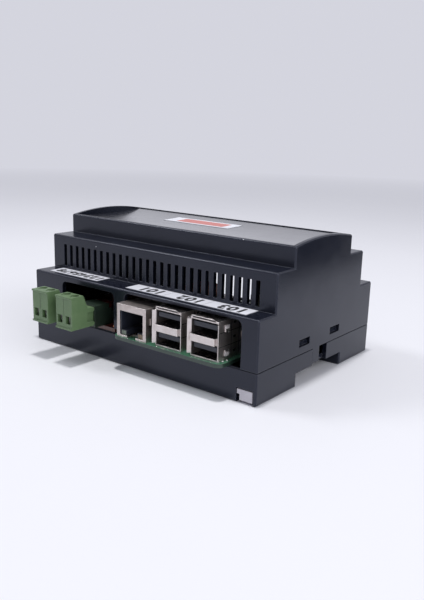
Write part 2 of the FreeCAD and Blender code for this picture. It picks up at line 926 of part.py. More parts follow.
def ribbon_socket(centre, base):
    """Crimped socket; its top is level on both boards, just over the ribbon's ends."""
    y = ribbon_y()
    top = board_top + header_height + socket_height
    body = block(around(centre, socket_width), (y[0] - socket_border, y[1] + socket_border), (base, top))
    return chamfer_top(body, socket_chamfer, top)


def link_ribbon():
    """Flat ribbon that bows up between the two sockets."""
    z = board_top + header_height + socket_height - ribbon_drop
    ends = (field_socket_x + socket_width / 2, header_x - socket_width / 2)
    middle = sum(ends) / 2
    y = ribbon_y()

    def bow(lift):
        low = V(ends[0], y[0], z + lift)
        high = V(ends[1], y[0], z + lift)
        return Part.Arc(low, V(middle, y[0], z + lift + ribbon_rise), high).toShape()

    caps = [Part.makeLine(V(x, y[0], z), V(x, y[0], z + ribbon_thickness)) for x in ends]
    loop = Part.__sortEdges__([bow(0.0), bow(ribbon_thickness)] + caps)
    return Part.Face(Part.Wire(loop)).extrude(V(0, y[1] - y[0], 0))


def on_board(from_back, from_left, size_x, size_y, height):
    """Component on the main board, centred from the board's back and left edges."""
    x = around(board_left + from_left, size_x)
    y = around(board_back - from_back, size_y)
    return block(x, y, (board_top, board_top + height))


def edge_socket(body, mouth):
    """Metal-shelled socket on the board's left edge, with its mouth towards -X."""
    from_back, size_x, size_y, height, overhang = body
    width, opening, lift = mouth
    left = board_left - overhang
    y = board_back - from_back
    shell = block((left, left + size_x), around(y, size_y), (board_top, board_top + height))
    hole_x = (left, left + size_x * mouth_depth)
    return shell.cut(block(hole_x, around(y, width), (board_top + lift, board_top + lift + opening)))


def audio_jack():
    from_back, height = audio_body[0], audio_body[4]
    start = V(board_left, board_back - from_back, board_top + height / 2)
    return on_board(*audio_body).cut(Part.makeCylinder(*audio_bore, start, V(1, 0, 0)))


def flex_connector(place):
    from_back, from_left = place
    body = on_board(from_back, from_left, *flex_body)
    x = around(board_left + from_left, flex_slot[0])
    y = around(board_back - from_back, flex_slot[1])
    top = board_top + flex_body[2]
    return body.cut(block(x, y, (top - flex_slot[2], top)))


card_slot_bottom = board_bottom - card_socket_size[2] + card_slot_floor


def card_socket():
    """Socket under the board for the memory card, open to the back."""
    x = board_left + card_from_left
    width, length, height = card_socket_size
    back = board_back - card_socket_setback
    body = block(around(x, width), (back - length, back), (board_bottom - height, board_bottom))
    slot_z = (card_slot_bottom, card_slot_bottom + card_socket_slot[1])
    slot_y = (back - length + card_slot_setback, back)
    return body.cut(block(around(x, card_socket_slot[0]), slot_y, slot_z))


def memory_card():
    x = around(board_left + card_from_left, card_size[0])
    back = board_back + card_overhang
    front = back - card_size[1]
    bottom = card_slot_bottom + card_clearance
    return block(x, (front, back), (bottom, bottom + card_size[2]))


# ---------------------------------------------------------------- interface board
def interface_board():
    tab = (terminal_window[0] + field_board_tab_gap, terminal_window[1] - field_board_tab_gap)
    outline = [
        (field_board_left, field_board_front),
        (tab[0], field_board_front),
        (tab[0], field_board_tab_front),
        (tab[1], field_board_tab_front),
        (tab[1], field_board_front),
        (field_board_right, field_board_front),
        (field_board_right, field_board_back),
        (field_board_left, field_board_back),
    ]
    z = (board_bottom, field_top)
    board = prism("plan", outline, z[0], z[1])
    holes = [rod(field_hole_radius, x, y, z) for x, y in field_holes]
    for centre in plug_centres:
        for x in pole_centres(centre):
            holes.append(block(around(x, pole_hole), around(pole_leg_y, pole_hole), z))
    return board.cut(holes)


def pole_centres(centre):
    return around(centre, terminal_pitch)


def terminal_header(centre):
    """Board socket: a shroud that opens to the front, stepped down at the back."""
    back = header_front + header_depth
    shroud_back = header_front + socket_depth + socket_wall
    first_drop, second_drop = header_steps
    outline = [
        (header_front, field_top),
        (header_front, shoulder_top),
        (shroud_back, shoulder_top),
        (shroud_back, shoulder_top - first_drop),
        (back - header_step_length, shoulder_top - first_drop),
        (back - header_step_length, shoulder_top - second_drop),
        (back, shoulder_top - second_drop),
        (back, field_top),
    ]
    body = prism("side", outline, centre - header_half, centre + header_half)
    tools = [block(
        around(centre, 2 * (header_half - socket_side_wall)),
        (header_front, header_front + socket_depth),
        (field_top + socket_wall, shoulder_top - socket_wall),
    )]
    side = pole_pin + 2 * fit_gap
    for x in pole_centres(centre):
        tools.append(block(around(x, side), (header_front, back), around(pole_pin_z, side)))
        tools.append(block(around(x, side), around(pole_leg_y, side), (field_top, pole_pin_z)))
    return body.cut(tools)


def terminal_pins(centre):
    pins = []
    reach = (header_front + pole_pin_inset, pole_leg_y + pole_pin / 2)
    for x in pole_centres(centre):
        leg_z = (board_bottom - pole_leg_tail, pole_pin_z)
        leg = block(around(x, pole_pin), around(pole_leg_y, pole_pin), leg_z)
        arm = block(around(x, pole_pin), reach, around(pole_pin_z, pole_pin))
        pins.append(fuse([leg, arm]))
    return Part.makeCompound(pins)


def plug_body(centre):
    """Plug with a sloping back, a lipped top and a railed neck that fills the header."""
    half = plug_width / 2
    top_back = plug_front + plug_top_depth
    neck_back = header_front - neck_gap
    body = prism("side", [
        (plug_front, plug_bottom),
        (plug_front, plug_top),
        (top_back, plug_top),
        (plug_back, plug_waist_height),
        (plug_back, plug_bottom),
    ], centre - half, centre + half)
    cap_bottom = plug_top - cap_height
    cap = prism("side", [
        (plug_front - cap_overhang, cap_bottom + cap_overhang),
        (plug_front - cap_overhang, plug_top),
        (plug_front + cap_overhang, plug_top),
        (plug_front + cap_overhang, cap_bottom),
        (plug_front, cap_bottom),
    ], centre - half, centre + half)
    foot = prism("side", [
        (plug_front - cap_overhang, plug_bottom),
        (plug_front - cap_overhang, plug_bottom + foot_ledge),
        (plug_front + cap_overhang, plug_bottom + foot_ledge),
        (plug_front + cap_overhang, plug_bottom),
    ], centre - half, centre + half)
    rails = []
    for low, high in ((plug_bottom, plug_bottom + rail_height), (shoulder_top - rail_height, shoulder_top)):
        rails.append(prism("side", [
            (plug_back - rail_round, low),
            (plug_back - rail_round, high),
            (neck_back, high, rail_round),
            (neck_back, low, rail_round),
        ], centre - half, centre + half))
    waist = block(
        around(centre, 2 * (half - neck_recess)),
        (plug_back - rail_round, neck_back),
        (plug_bottom + rail_round, shoulder_top - rail_round),
    )
    neck_end = header_front + socket_depth - 2 * neck_gap
    neck = block(
        around(centre, 2 * (header_half - socket_side_wall - neck_gap)),
        (neck_back - rail_round, neck_end),
        (field_top + socket_wall + neck_gap, shoulder_top - socket_wall - neck_gap),
    )
    body = fuse([body, cap, foot, waist, neck] + rails)
    groove_z = (cage_bottom + cage_wall + wire_hole[1] + running_gap, cap_bottom)
    tools = [block(around(centre, face_groove[0]), (plug_front, plug_front + face_groove[1]), groove_z)]
    for x in pole_centres(centre):
        tools.extend(pole_cavities(x, neck_end))
    return body.cut(tools)


def pole_cavities(x, neck_end):
    """Room for one pole: screw well, cage chamber, wire hole, contact channel, front dimple."""
    chamber_y = around(screw_line, cage_length + 2 * cage_gap)
    chamber_z = (cage_bottom - cage_gap, cage_bottom + cage_height + cage_travel + cage_gap)
    chamber = block(around(x, cage_width + 2 * cage_gap), chamber_y, chamber_z)
    well = rod(clamp_head_radius + clamp_head_gap, x, screw_line, (clamp_head_bottom, plug_top))
    throat = rod(clamp_shank_radius + running_gap, x, screw_line, (chamber_z[1], clamp_head_bottom))
    hole_bottom = cage_bottom + cage_wall + running_gap
    wire_way = block(
        around(x, wire_hole[0]), (plug_front, chamber_y[0]), (hole_bottom, hole_bottom + wire_hole[1])
    )
    channel = block(
        around(x, bar_width + 2 * cage_gap),
        (chamber_y[1], neck_end),
        (fork_levels()[0] - cage_gap, bar_bottom + bar_thickness + cage_gap),
    )
    dimple_y = around(plug_front + dimple_setback, dimple[0])
    pit = block(around(x, dimple[0]), dimple_y, (plug_top - dimple[1], plug_top))
    return [chamber, well, throat, wire_way, channel, pit]


def fork_levels():
    """Undersides of the two leaves that grip a header pin."""
    return (pole_pin_z - pole_pin / 2 - leaf_gap - leaf, pole_pin_z + pole_pin / 2 + leaf_gap)


def clamp_screw(x):
    """Slotted screw, held in height by the plug; its shank works the cage."""
    top = clamp_head_bottom + clamp_head_height
    head = rod(clamp_head_radius, x, screw_line, (clamp_head_bottom, top))
    shank_end = bar_bottom + bar_thickness + clamp_shank_gap
    shank = rod(clamp_shank_radius, x, screw_line, (shank_end, clamp_head_bottom))
    slot_y = around(screw_line, 2 * clamp_head_radius)
    return fuse([head, shank]).cut(block(around(x, clamp_slot), slot_y, (top - clamp_slot_depth, top)))


def clamp_cage(x):
    """Box with a threaded roof and a window for the wire and the contact bar."""
    y = around(screw_line, cage_length)
    body = block(around(x, cage_width), y, (cage_bottom, cage_bottom + cage_height))
    window_z = (cage_bottom + cage_wall, cage_bottom + cage_wall + cage_window)
    opening = block(around(x, cage_width - 2 * cage_wall), y, window_z)
    thread_z = (window_z[1], cage_bottom + cage_height)
    return body.cut([opening, rod(clamp_shank_radius + running_gap, x, screw_line, thread_z)])


def plug_contacts(centre):
    """Current bars with forks that slide over the header's pins."""
    contacts = []
    fork_front = plug_back + fork_inset
    fork_back = header_front + socket_depth - 4 * neck_gap
    levels = fork_levels()
    bar_y = (screw_line - cage_length / 2 + bar_inset, fork_front)
    for x in pole_centres(centre):
        across = around(x, bar_width)
        pieces = [
            block(across, bar_y, (bar_bottom, bar_bottom + bar_thickness)),
            block(across, (fork_front - leaf, fork_front), (levels[0], bar_bottom + bar_thickness)),
        ]
        for z in levels:
            pieces.append(block(across, (fork_front - leaf, fork_back), (z, z + leaf)))
        contacts.append(fuse(pieces))
    return Part.makeCompound(contacts)


def on_field(from_right, from_back, size_x, size_y, height):
    x = around(field_board_right - from_right, size_x)
    y = around(field_board_back - from_back, size_y)
    return block(x, y, (field_top, field_top + height))


def cased(body):
    """Component on the interface board with chamfered upper edges."""
    return chamfer_top(on_field(*body), case_chamfer, field_top + body[4])


def storage_capacitor():
    y = field_board_back - can_from_back
    return rod(can_radius, field_board_left + can_inset, y, (field_top, field_top + can_height))


# ---------------------------------------------------------------- all pieces
def build():
    save("base_shell", base_shell())
    save("upper_cover", upper_cover())
    save("top_panel", top_panel())
    save("left_label", shoulder_label(-half_length + left_label_inset, left_label_length))
    right_start = half_length - right_label_inset - right_label_length
    save("right_label", shoulder_label(right_start, right_label_length))
    save("top_label", top_label())
    save("rail_clip", rail_clip())

    save("main_board", main_board())
    save("board_screws", Part.makeCompound([board_screw(x, y, board_top) for x, y in board_holes]))
    save("network_jack_shield", jack_shield())
    save("network_jack_insert", jack_insert())
    save("network_jack_contacts", jack_contacts())
    save("network_jack_lights", Part.makeCompound([light_block(side, 0.0) for side in (-1, 1)]))
    for number, offset in enumerate(stack_from_edge, 1):
        centre = board_left + offset
        save("port_stack_%d_shell" % number, stack_shell(centre))
        save("port_stack_%d_insert" % number, stack_insert(centre))
        save("port_stack_%d_contacts" % number, stack_contacts(centre))
    save("pin_header", pin_header())
    save("header_pins", header_pins())
    save("processor", on_board(*processor_chip))
    save("support_chips", Part.makeCompound([on_board(*chip) for chip in main_chips]))
    save("video_socket", edge_socket(video_body, video_mouth))
    save("power_socket", edge_socket(power_body, power_mouth))
    save("audio_jack", audio_jack())
    save("camera_connector", flex_connector(camera_place))
    save("display_connector", flex_connector(display_place))
    save("card_socket", card_socket())
    save("memory_card", memory_card())

    save("interface_board", interface_board())
    save("interface_screws", Part.makeCompound([board_screw(x, y, field_top) for x, y in field_holes]))
    save("switch_relay", cased(relay_body))
    save("storage_capacitor", storage_capacitor())
    save("power_choke", cased(choke_body))
    save("field_chips", Part.makeCompound([on_field(*chip) for chip in field_chip_bodies]))
    save("blade_fuse", cased(fuse_body))
    sockets = [
        ribbon_socket(header_x, board_top + header_height),
        ribbon_socket(field_socket_x, field_top),
    ]
    save("ribbon_sockets", Part.makeCompound(sockets))
    save("link_ribbon", link_ribbon())

    for name, centre in zip("ab", plug_centres):
        save("terminal_header_" + name, terminal_header(centre))
        save("terminal_pins_" + name, terminal_pins(centre))
        save("plug_body_" + name, plug_body(centre))
        save("plug_contacts_" + name, plug_contacts(centre))
        for number, x in enumerate(pole_centres(centre), 1):
            save("clamp_screw_%s%d" % (name, number), clamp_screw(x))
            save("clamp_cage_%s%d" % (name, number), clamp_cage(x))


build()
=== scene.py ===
"""Looks of the single board computer in its DIN-rail housing."""
import bmesh
import bpy
import json
import math
import random
from mathutils import Matrix, Vector


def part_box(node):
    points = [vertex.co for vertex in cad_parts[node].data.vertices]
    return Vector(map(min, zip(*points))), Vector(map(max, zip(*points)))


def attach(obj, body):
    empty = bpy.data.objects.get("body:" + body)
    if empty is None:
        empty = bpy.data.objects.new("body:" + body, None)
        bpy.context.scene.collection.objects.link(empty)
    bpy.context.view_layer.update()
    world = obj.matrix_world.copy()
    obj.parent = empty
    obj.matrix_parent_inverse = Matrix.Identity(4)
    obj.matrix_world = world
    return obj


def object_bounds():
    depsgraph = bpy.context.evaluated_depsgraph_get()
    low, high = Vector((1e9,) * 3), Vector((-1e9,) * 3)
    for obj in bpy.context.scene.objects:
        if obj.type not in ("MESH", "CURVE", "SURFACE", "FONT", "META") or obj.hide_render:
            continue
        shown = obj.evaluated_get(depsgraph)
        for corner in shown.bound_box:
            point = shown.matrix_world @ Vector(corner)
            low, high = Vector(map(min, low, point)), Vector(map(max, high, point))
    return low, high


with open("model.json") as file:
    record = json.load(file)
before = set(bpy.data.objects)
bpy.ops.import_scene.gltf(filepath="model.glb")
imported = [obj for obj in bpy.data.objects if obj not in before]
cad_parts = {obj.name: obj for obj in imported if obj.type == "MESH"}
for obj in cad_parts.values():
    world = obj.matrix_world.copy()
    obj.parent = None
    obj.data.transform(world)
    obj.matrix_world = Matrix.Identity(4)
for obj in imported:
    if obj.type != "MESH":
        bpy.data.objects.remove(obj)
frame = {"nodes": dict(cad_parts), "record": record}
CAD_BOUNDS = [list(corner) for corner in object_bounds()]
MM = 0.001
MIX_FIRST, MIX_SECOND, MIXED = 6, 7, 2      # the colour sockets of a Mix node


# ---------------------------------------------------------------- camera
def add_camera():
    """Looks at the connector side from the right, a little above the bench."""
    position = Vector((191.43, -238.91, 93.18)) * MM
    azimuth, elevation, roll = (math.radians(a) for a in (37.80, 14.21, 1.62))
    forward = Vector((
        -math.sin(azimuth) * math.cos(elevation),
        math.cos(azimuth) * math.cos(elevation),
        -math.sin(elevation),
    ))
    level = Vector((math.cos(azimuth), math.sin(azimuth), 0))
    upward = level.cross(forward)
    right = level * math.cos(roll) + upward * math.sin(roll)
    up = upward * math.cos(roll) - level * math.sin(roll)
    data = bpy.data.cameras.new("camera")
    data.sensor_width = 36.0
    data.lens = 41.0
    data.clip_start = 0.01
    data.clip_end = 20.0
    camera = bpy.data.objects.new("camera", data)
    rotation = Matrix((right, up, -forward)).transposed().to_4x4()
    camera.matrix_world = Matrix.Translation(position) @ rotation
    bpy.context.collection.objects.link(camera)
    bpy.context.scene.camera = camera


# ---------------------------------------------------------------- shader nodes
class Shader:
    """Small builder for one procedural material."""

    def __init__(self, name, **values):
        self.material = bpy.data.materials.new(name)
        self.material.use_nodes = True
        self.tree = self.material.node_tree
        self.bsdf = self.tree.nodes["Principled BSDF"]
        for socket, value in values.items():
            self.bsdf.inputs[socket.replace("_", " ")].default_value = value
        self.relief = None

    def node(self, kind, **settings):
        made = self.tree.nodes.new(kind)
        for key, value in settings.items():
            if hasattr(made, key):
                setattr(made, key, value)
            else:
                made.inputs[key.replace("_", " ")].default_value = value
        return made

    def link(self, a, b):
        self.tree.links.new(a, b)

    def feed(self, socket, value):
        """Value is a node's output, a number or a colour of three parts."""
        if hasattr(value, "is_linked"):
            self.link(value, socket)
        elif isinstance(value, tuple):
            socket.default_value = value + (1.0,)
        else:
            socket.default_value = value

    def place(self, stretch=None):
        """Object coordinates in metres, or scaled by stretch."""
        where = self.node("ShaderNodeTexCoord").outputs["Object"]
        if stretch is None:
            return where
        mapping = self.node("ShaderNodeMapping")
        mapping.inputs["Scale"].default_value = stretch
        self.link(where, mapping.inputs["Vector"])
        return mapping.outputs["Vector"]

    def noise(self, scale, detail=3.0, roughness=0.55, stretch=None):
        made = self.node("ShaderNodeTexNoise", Scale=scale, Detail=detail, Roughness=roughness)
        self.link(self.place(stretch), made.inputs["Vector"])
        return made.outputs["Fac"]

    def cells(self, scale, output="Distance", **settings):
        made = self.node("ShaderNodeTexVoronoi", Scale=scale, **settings)
        self.link(self.place(), made.inputs["Vector"])
        return made.outputs[output]

    def math(self, operation, first, second=0.5):
        made = self.node("ShaderNodeMath", operation=operation)
        self.feed(made.inputs[0], first)
        self.feed(made.inputs[1], second)
        return made.outputs[0]

    def ramp(self, factor, dark, light, low=0.3, high=0.7):
        """Colour that runs from dark at the factor's low to light at its high."""
        made = self.node("ShaderNodeValToRGB")
        elements = made.color_ramp.elements
        for element, place, colour in zip(elements, (low, high), (dark, light)):
            element.position = place
            element.color = tuple(colour) + (1.0,)
        self.link(factor, made.inputs["Fac"])
        return made.outputs["Color"]

    def blend(self, factor, first, second):
        made = self.node("ShaderNodeMix", data_type="RGBA")
        self.feed(made.inputs["Factor"], factor)
        self.feed(made.inputs[MIX_FIRST], first)
        self.feed(made.inputs[MIX_SECOND], second)
        return made.outputs[MIXED]

    def span(self, factor, low, high, low_in=0.0, high_in=1.0):
        """The factor's low_in to high_in, spread over low to high."""
        made = self.node("ShaderNodeMapRange")
        limits = {"From Min": low_in, "From Max": high_in, "To Min": low, "To Max": high}
        for socket, value in limits.items():
            made.inputs[socket].default_value = value
        self.link(factor, made.inputs["Value"])
        return made.outputs["Result"]

    def uneven(self, noise, low, high):
        """Low to high over the middle half of a noise, where most of it lies."""
        return self.span(noise, low, high, 0.25, 0.75)

    def facing(self, axis):
        """Size of the surface normal's part along one axis, from 0 to 1."""
        split = self.node("ShaderNodeSeparateXYZ")
        self.link(self.node("ShaderNodeNewGeometry").outputs["True Normal"], split.inputs[0])
        return self.math("ABSOLUTE", split.outputs[axis])

    def edges(self, radius, low, high):
        """1 within the radius of an edge, 0 on the flats; low and high set how soft.

        The rounded normal becomes the surface's own, so edges catch the light."""
        rounded = self.node("ShaderNodeBevel", samples=4, Radius=radius)
        dot = self.node("ShaderNodeVectorMath", operation="DOT_PRODUCT")
        self.link(rounded.outputs["Normal"], dot.inputs[0])
        self.link(self.node("ShaderNodeNewGeometry").outputs["True Normal"], dot.inputs[1])
        if self.relief is None:
            self.relief = rounded.outputs["Normal"]
        return self.span(dot.outputs["Value"], 1.0, 0.0, low, high)

    def specks(self, scale, size, share):
        """Sparse round dots: their size in parts of a cell, and the share of cells with one."""
        near = self.math("LESS_THAN", self.cells(scale), size)
        split = self.node("ShaderNodeSeparateColor")
        self.link(self.cells(scale, output="Color"), split.inputs[0])
        chosen = self.math("LESS_THAN", split.outputs[0], share)
        return self.math("MULTIPLY", near, chosen)

    def colour(self, output):
        self.link(output, self.bsdf.inputs["Base Color"])

    def roughness(self, output):
        self.link(output, self.bsdf.inputs["Roughness"])

    def bump(self, height, strength, distance):
        made = self.node("ShaderNodeBump", Strength=strength, Distance=distance)
        self.link(height, made.inputs["Height"])
        if self.relief is not None:
            self.link(self.relief, made.inputs["Normal"])
        self.relief = made.outputs["Normal"]
        self.link(self.relief, self.bsdf.inputs["Normal"])


# ---------------------------------------------------------------- materials
def moulded(name, dark, light, rough, scale=60.0, grain=1800.0, bump=0.05, wear_and_highlight=None,
            dust=0.0, **values):
    """Plastic: soft colour drift, uneven gloss, mould grain, edges painted lighter as wear and as a
    painted highlight, and a few dust specks.
    """
    edge_radius, edge_softness, rougher_edge = 0.0004, (0.80, 0.98), 0.15
    dust_scale, dust_size, dust_grey = 420.0, 0.10, (0.55, 0.55, 0.58)
    shader = Shader(name, **values)
    colour = shader.ramp(shader.noise(scale), dark, light)
    rough_map = shader.uneven(shader.noise(scale * 1.7), *rough)
    if wear_and_highlight is not None:
        # Edges get the lighter edge colour: wear and a painted highlight.
        edge = shader.edges(edge_radius, *edge_softness)
        edge_wear_and_highlight = shader.math("MULTIPLY", edge, shader.noise(scale * 6))
        colour = shader.blend(edge_wear_and_highlight, colour, wear_and_highlight)
        rough_map = shader.math("ADD", rough_map, shader.math("MULTIPLY", edge_wear_and_highlight, rougher_edge))
    if dust > 0:
        colour = shader.blend(shader.specks(dust_scale, dust_size, dust), colour, dust_grey)
    shader.colour(colour)
    shader.roughness(rough_map)
    shader.bump(shader.noise(grain, detail=2.0), bump, 0.0002)
    return shader.material


def metal(name, dark, light, rough, tarnish=None, wear_and_highlight=None, top_shade_colour=None):
    """Plated or rolled metal: streaks along the rolling direction, blotchy tarnish, edges painted
    brighter as wear and as a painted highlight.

    top_shade_colour is painted shade on the level sheets, which are punched; a fine noise thins it
    in patches."""
    rolling = (60.0, 600.0, 600.0)
    edge_radius, edge_softness = 0.00025, (0.80, 0.98)
    shader = Shader(name, Metallic=1.0)
    streaks = shader.noise(6.0, detail=4.0, stretch=rolling)
    colour = shader.ramp(streaks, dark, light, 0.35, 0.65)
    blotches = shader.noise(350.0, detail=4.0)
    if tarnish is not None:
        colour = shader.blend(shader.span(blotches, 0.0, 0.8, 0.45, 0.75), colour, tarnish)
    if top_shade_colour is not None:
        # Painted shade on the level faces, top and bottom.
        level = shader.math("GREATER_THAN", shader.facing("Z"), 0.5)
        shade = shader.span(shader.noise(1100.0), 1.0, 0.35, 0.52, 0.70)
        colour = shader.blend(shader.math("MULTIPLY", level, shade), colour, top_shade_colour)
    if wear_and_highlight is not None:
        # Edges get the brighter edge colour: wear and a painted highlight.
        colour = shader.blend(shader.edges(edge_radius, *edge_softness), colour, wear_and_highlight)
    shader.colour(colour)
    shader.roughness(shader.uneven(blotches, *rough))
    shader.bump(streaks, 0.08, 0.0001)
    return shader.material


def circuit_board(name, mask_dark, mask_light, laminate, track):
    """Solder mask over tracks, with the bare laminate at the board's edges."""
    track_pitch, track_width, track_strength = 0.12, 0.03, 0.55
    pad_scale, pad_size, pad_share, pad_colour = 330.0, 0.16, 0.22, (0.52, 0.52, 0.47)
    plies = (1.0, 1.0, 40.0)
    shader = Shader(name, Coat_Weight=0.3, Coat_Roughness=0.15)
    mask = shader.ramp(shader.noise(140.0), mask_dark, mask_light, 0.35, 0.65)
    lines = shader.cells(260.0, distance="CHEBYCHEV", feature="F2")
    tracks = shader.math("LESS_THAN", shader.math("PINGPONG", lines, track_pitch), track_width)
    mask = shader.blend(shader.math("MULTIPLY", tracks, track_strength), mask, track)
    mask = shader.blend(shader.specks(pad_scale, pad_size, pad_share), mask, pad_colour)
    edge = shader.math("LESS_THAN", shader.facing("Z"), 0.5)
    stained = [0.5 * part + 0.15 * tint for part, tint in zip(laminate, mask_light)]
    fibres = shader.ramp(shader.noise(40.0, stretch=plies), laminate, stained)
    shader.colour(shader.blend(edge, mask, fibres))
    shader.roughness(shader.uneven(shader.noise(500.0), 0.3, 0.5))
    shader.bump(tracks, 0.25, 0.00004)
    return shader.material


def label_film():
    """Satin film with a faint weave, slightly soiled towards its edges."""
    shader = Shader("label_white", Specular_IOR_Level=0.35)
    edge_radius, edge_softness, soil = 0.0005, (0.80, 0.99), 0.35
    film = shader.ramp(shader.noise(90.0), (0.76, 0.77, 0.84), (0.80, 0.81, 0.88))
    soiled = shader.math("MULTIPLY", shader.edges(edge_radius, *edge_softness), soil)
    shader.colour(shader.blend(soiled, film, (0.42, 0.42, 0.46)))
    shader.roughness(shader.uneven(shader.noise(200.0), 0.34, 0.5))
    shader.bump(shader.noise(3200.0, detail=1.0), 0.05, 0.0001)
    return shader.material


def ribbon_wires():
    """Flat ribbon of parallel wires in red insulation, with painted shade in the grooves between
    them.
    """
    shader = Shader("ribbon_red")
    wave = shader.node("ShaderNodeTexWave", bands_direction="Y", Scale=124.0, Distortion=0.0)
    shader.link(shader.place(), wave.inputs["Vector"])
    ridges = wave.outputs["Fac"]
    # Red darkened in the grooves as painted shade.
    shader.colour(shader.ramp(ridges, (0.22, 0.03, 0.015), (0.50, 0.10, 0.06), 0.1, 0.6))
    shader.roughness(shader.uneven(shader.noise(300.0), 0.35, 0.5))
    shader.bump(ridges, 0.6, 0.0003)
    return shader.material


def light_pipes():
    """Green-tinted pipe on the left of the jack and an amber one on the right."""
    shader = Shader("light_lens", Coat_Weight=0.6, Coat_Roughness=0.08)
    low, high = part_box("network_jack_lights")
    split = shader.node("ShaderNodeSeparateXYZ")
    shader.link(shader.place(), split.inputs[0])
    right = shader.math("GREATER_THAN", split.outputs["X"], (low[0] + high[0]) / 2)
    cloud = shader.noise(900.0)
    green = shader.ramp(cloud, (0.03, 0.05, 0.03), (0.14, 0.19, 0.13))
    amber = shader.ramp(cloud, (0.05, 0.03, 0.01), (0.20, 0.12, 0.03))
    shader.colour(shader.blend(right, green, amber))
    shader.roughness(shader.uneven(shader.noise(700.0), 0.12, 0.28))
    return shader.material


def ink(name, dark, light):
    """Dry print with a fine, faint grain."""
    return moulded(name, dark, light, (0.4, 0.55), scale=700.0, grain=4000.0, bump=0.02)


MATERIALS = {
    # The housing's lighter edge colour is partly wear, partly a painted highlight along its edges.
    "housing_black": moulded("housing_black", (0.0055, 0.0068, 0.0135), (0.0085, 0.0105, 0.019),
                             (0.18, 0.27), bump=0.03, wear_and_highlight=(0.13, 0.135, 0.16), dust=0.006,
                             Specular_IOR_Level=0.46, Specular_Tint=(0.80, 0.84, 1.0, 1.0)),
    "panel_gloss": moulded("panel_gloss", (0.020, 0.021, 0.028), (0.025, 0.026, 0.034),
                           (0.16, 0.24), scale=35.0, bump=0.02, dust=0.01,
                           Coat_Weight=0.75, Coat_Roughness=0.12),
    "label_white": label_film(),
    "clip_grey": moulded("clip_grey", (0.55, 0.53, 0.58), (0.62, 0.60, 0.65), (0.4, 0.5),
                         scale=200.0, wear_and_highlight=(0.70, 0.68, 0.74)),
    "board_green": circuit_board("board_green", (0.042, 0.14, 0.080), (0.060, 0.19, 0.112),
                                 (0.026, 0.042, 0.034), (0.09, 0.24, 0.15)),
    "board_red": circuit_board("board_red", (0.075, 0.010, 0.008), (0.11, 0.015, 0.011),
                               (0.10, 0.04, 0.028), (0.17, 0.03, 0.02)),
    "screw_steel": metal("screw_steel", (0.40, 0.39, 0.38), (0.56, 0.55, 0.54), (0.25, 0.42),
                         tarnish=(0.26, 0.24, 0.21), wear_and_highlight=(0.75, 0.74, 0.72)),
    "cage_steel": metal("cage_steel", (0.38, 0.37, 0.35), (0.50, 0.49, 0.47), (0.3, 0.5),
                        wear_and_highlight=(0.7, 0.69, 0.67)),
    "nickel_shell": metal("nickel_shell", (0.53, 0.475, 0.455), (0.61, 0.55, 0.525), (0.34, 0.46),
                          tarnish=(0.49, 0.43, 0.395), wear_and_highlight=(0.86, 0.81, 0.78)),
    "insert_black": moulded("insert_black", (0.018, 0.021, 0.032), (0.028, 0.033, 0.048),
                            (0.28, 0.42), scale=400.0, grain=5000.0, wear_and_highlight=(0.06, 0.066, 0.085)),
    "contact_gold": metal("contact_gold", (0.62, 0.40, 0.12), (0.78, 0.55, 0.2), (0.18, 0.34)),
    "contact_tin": metal("contact_tin", (0.48, 0.47, 0.45), (0.62, 0.6, 0.58), (0.25, 0.4)),
    "light_lens": light_pipes(),
    "chip_black": moulded("chip_black", (0.012, 0.012, 0.013), (0.022, 0.022, 0.024), (0.4, 0.6),
                          scale=500.0, grain=6000.0, bump=0.1, wear_and_highlight=(0.06, 0.06, 0.065)),
    "flex_cream": moulded("flex_cream", (0.5, 0.46, 0.36), (0.6, 0.56, 0.45), (0.4, 0.5),
                          scale=300.0),
    "relay_orange": moulded("relay_orange", (0.42, 0.07, 0.02), (0.5, 0.09, 0.03), (0.25, 0.35),
                            scale=200.0),
    "can_blue": moulded("can_blue", (0.03, 0.04, 0.09), (0.05, 0.06, 0.12), (0.3, 0.4),
                        scale=200.0),
    "fuse_red": moulded("fuse_red", (0.07, 0.010, 0.008), (0.10, 0.013, 0.010), (0.25, 0.35),
                        scale=200.0),
    "ribbon_red": ribbon_wires(),
    "terminal_green": moulded("terminal_green", (0.108, 0.182, 0.084), (0.130, 0.208, 0.100),
                              (0.34, 0.48), scale=220.0, grain=3500.0, bump=0.06,
                              wear_and_highlight=(0.24, 0.34, 0.21)),
}
# Terminal green darkened into painted shade, for the terminal headers.
SHADED_HEADER_GREEN = moulded("header_green_painted_shade", (0.012, 0.022, 0.015), (0.017, 0.030, 0.020),
                       (0.34, 0.48), scale=220.0, grain=3500.0, bump=0.06,
                       wear_and_highlight=(0.035, 0.06, 0.035))
# Port stack nickel, with painted shade on its level sheets.
NICKEL_STACK = metal("nickel_stack", (0.60, 0.555, 0.54), (0.68, 0.63, 0.61), (0.34, 0.46),
                     tarnish=(0.55, 0.49, 0.455), wear_and_highlight=(0.86, 0.82, 0.79),
                     top_shade_colour=(0.045, 0.042, 0.048))
MATT_TIN = moulded("matt_tin", (0.52, 0.49, 0.49), (0.64, 0.61, 0.61), (0.35, 0.5),
                   scale=900.0, wear_and_highlight=(0.75, 0.72, 0.71))
OWN_MATERIALS = {
    "terminal_header_a": SHADED_HEADER_GREEN,
    "terminal_header_b": SHADED_HEADER_GREEN,
    "port_stack_1_shell": NICKEL_STACK,
    "port_stack_2_shell": NICKEL_STACK,
}
INK = {
    "black": ink("ink_black", (0.012, 0.012, 0.015), (0.03, 0.03, 0.034)),
    "grey": ink("ink_grey", (0.25, 0.25, 0.27), (0.34, 0.34, 0.36)),
    "red": ink("ink_red", (0.52, 0.16, 0.15), (0.62, 0.24, 0.22)),
}
SOLDER = metal("solder", (0.62, 0.62, 0.60), (0.82, 0.82, 0.80), (0.12, 0.25))
